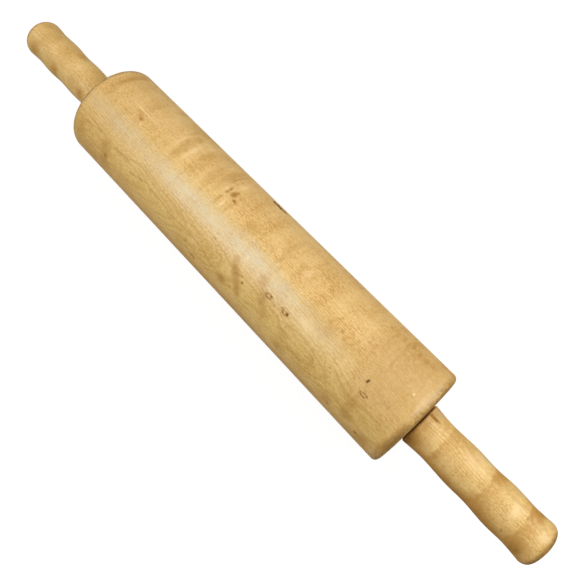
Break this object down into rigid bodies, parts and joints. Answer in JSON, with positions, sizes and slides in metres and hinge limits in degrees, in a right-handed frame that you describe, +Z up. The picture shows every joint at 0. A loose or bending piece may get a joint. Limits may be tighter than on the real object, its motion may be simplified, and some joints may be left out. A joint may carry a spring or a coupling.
{
  "type": "rolling pin",
  "caption": "Turned wooden rolling pin: a plain cylindrical barrel runs on ball bearings about a steel axle that joins shaped grip handles at its ends.",
  "frame": {"origin": "on the resting plane, straight below the middle of the barrel", "axes": "+X along the pin towards the right handle, +Z up from the resting plane, +Y level across the pin"},
  "size_m": [0.4878, 0.07, 0.07],
  "materials": {
    "barrel_wood": "satin, worn smooth",
    "handle_wood": "satin, darkened by handling",
    "axle_steel": "drawn bright",
    "bearing_steel": "ground and polished",
    "shield_steel": "pressed sheet",
    "cage_nylon": "moulded"
  },
  "bodies": {
    "spindle": {"axle": "axle_steel", "handle_left": "handle_wood", "handle_right": "handle_wood", "thrust_washer_left": "axle_steel", "thrust_washer_right": "axle_steel", "bearing_inner_ring_left": "bearing_steel", "bearing_inner_ring_right": "bearing_steel"},
    "roller": {"barrel": "barrel_wood", "bearing_outer_ring_left": "bearing_steel", "bearing_outer_ring_right": "bearing_steel", "bearing_shield_outer_left": "shield_steel", "bearing_shield_outer_right": "shield_steel", "bearing_shield_inner_left": "shield_steel", "bearing_shield_inner_right": "shield_steel"},
    "cage_left": {"bearing_cage_left": "cage_nylon"},
    "ball_left_1": {"bearing_ball_left_1": "bearing_steel"},
    "ball_left_2": {"bearing_ball_left_2": "bearing_steel"},
    "ball_left_3": {"bearing_ball_left_3": "bearing_steel"},
    "ball_left_4": {"bearing_ball_left_4": "bearing_steel"},
    "ball_left_5": {"bearing_ball_left_5": "bearing_steel"},
    "ball_left_6": {"bearing_ball_left_6": "bearing_steel"},
    "ball_left_7": {"bearing_ball_left_7": "bearing_steel"},
    "cage_right": {"bearing_cage_right": "cage_nylon"},
    "ball_right_1": {"bearing_ball_right_1": "bearing_steel"},
    "ball_right_2": {"bearing_ball_right_2": "bearing_steel"},
    "ball_right_3": {"bearing_ball_right_3": "bearing_steel"},
    "ball_right_4": {"bearing_ball_right_4": "bearing_steel"},
    "ball_right_5": {"bearing_ball_right_5": "bearing_steel"},
    "ball_right_6": {"bearing_ball_right_6": "bearing_steel"},
    "ball_right_7": {"bearing_ball_right_7": "bearing_steel"}
  },
  "joints": [
    {"name": "barrel_spin", "type": "hinge", "parent": "spindle", "child": "roller", "pos_m": [0, 0, 0.035], "axis": [1, 0, 0], "continuous": true},
    {"name": "cage_orbit_left", "type": "hinge", "parent": "spindle", "child": "cage_left", "pos_m": [-0.146, 0, 0.035], "axis": [1, 0, 0], "continuous": true},
    {"name": "ball_roll_left_1", "type": "hinge", "parent": "cage_left", "child": "ball_left_1", "pos_m": [-0.146, -0.00754, 0.035], "axis": [1, 0, 0], "continuous": true},
    {"name": "ball_roll_left_2", "type": "hinge", "parent": "cage_left", "child": "ball_left_2", "pos_m": [-0.146, -0.0047, 0.04089], "axis": [1, 0, 0], "continuous": true},
    {"name": "ball_roll_left_3", "type": "hinge", "parent": "cage_left", "child": "ball_left_3", "pos_m": [-0.146, 0.00168, 0.04235], "axis": [1, 0, 0], "continuous": true},
    {"name": "ball_roll_left_4", "type": "hinge", "parent": "cage_left", "child": "ball_left_4", "pos_m": [-0.146, 0.00679, 0.03827], "axis": [1, 0, 0], "continuous": true},
    {"name": "ball_roll_left_5", "type": "hinge", "parent": "cage_left", "child": "ball_left_5", "pos_m": [-0.146, 0.00679, 0.03173], "axis": [1, 0, 0], "continuous": true},
    {"name": "ball_roll_left_6", "type": "hinge", "parent": "cage_left", "child": "ball_left_6", "pos_m": [-0.146, 0.00168, 0.02765], "axis": [1, 0, 0], "continuous": true},
    {"name": "ball_roll_left_7", "type": "hinge", "parent": "cage_left", "child": "ball_left_7", "pos_m": [-0.146, -0.0047, 0.02911], "axis": [1, 0, 0], "continuous": true},
    {"name": "cage_orbit_right", "type": "hinge", "parent": "spindle", "child": "cage_right", "pos_m": [0.146, 0, 0.035], "axis": [1, 0, 0], "continuous": true},
    {"name": "ball_roll_right_1", "type": "hinge", "parent": "cage_right", "child": "ball_right_1", "pos_m": [0.146, 0.00754, 0.035], "axis": [1, 0, 0], "continuous": true},
    {"name": "ball_roll_right_2", "type": "hinge", "parent": "cage_right", "child": "ball_right_2", "pos_m": [0.146, 0.0047, 0.04089], "axis": [1, 0, 0], "continuous": true},
    {"name": "ball_roll_right_3", "type": "hinge", "parent": "cage_right", "child": "ball_right_3", "pos_m": [0.146, -0.00168, 0.04235], "axis": [1, 0, 0], "continuous": true},
    {"name": "ball_roll_right_4", "type": "hinge", "parent": "cage_right", "child": "ball_right_4", "pos_m": [0.146, -0.00679, 0.03827], "axis": [1, 0, 0], "continuous": true},
    {"name": "ball_roll_right_5", "type": "hinge", "parent": "cage_right", "child": "ball_right_5", "pos_m": [0.146, -0.00679, 0.03173], "axis": [1, 0, 0], "continuous": true},
    {"name": "ball_roll_right_6", "type": "hinge", "parent": "cage_right", "child": "ball_right_6", "pos_m": [0.146, -0.00168, 0.02765], "axis": [1, 0, 0], "continuous": true},
    {"name": "ball_roll_right_7", "type": "hinge", "parent": "cage_right", "child": "ball_right_7", "pos_m": [0.146, 0.0047, 0.02911], "axis": [1, 0, 0], "continuous": true}
  ],
  "couplings": [
    {"joint": "cage_orbit_left", "follows": "barrel_spin", "ratio": 0.6317},
    {"joint": "ball_roll_left_1", "follows": "barrel_spin", "ratio": 1.7663},
    {"joint": "ball_roll_left_2", "follows": "barrel_spin", "ratio": 1.7663},
    {"joint": "ball_roll_left_3", "follows": "barrel_spin", "ratio": 1.7663},
    {"joint": "ball_roll_left_4", "follows": "barrel_spin", "ratio": 1.7663},
    {"joint": "ball_roll_left_5", "follows": "barrel_spin", "ratio": 1.7663},
    {"joint": "ball_roll_left_6", "follows": "barrel_spin", "ratio": 1.7663},
    {"joint": "ball_roll_left_7", "follows": "barrel_spin", "ratio": 1.7663},
    {"joint": "cage_orbit_right", "follows": "barrel_spin", "ratio": 0.6317},
    {"joint": "ball_roll_right_1", "follows": "barrel_spin", "ratio": 1.7663},
    {"joint": "ball_roll_right_2", "follows": "barrel_spin", "ratio": 1.7663},
    {"joint": "ball_roll_right_3", "follows": "barrel_spin", "ratio": 1.7663},
    {"joint": "ball_roll_right_4", "follows": "barrel_spin", "ratio": 1.7663},
    {"joint": "ball_roll_right_5", "follows": "barrel_spin", "ratio": 1.7663},
    {"joint": "ball_roll_right_6", "follows": "barrel_spin", "ratio": 1.7663},
    {"joint": "ball_roll_right_7", "follows": "barrel_spin", "ratio": 1.7663}
  ]
}
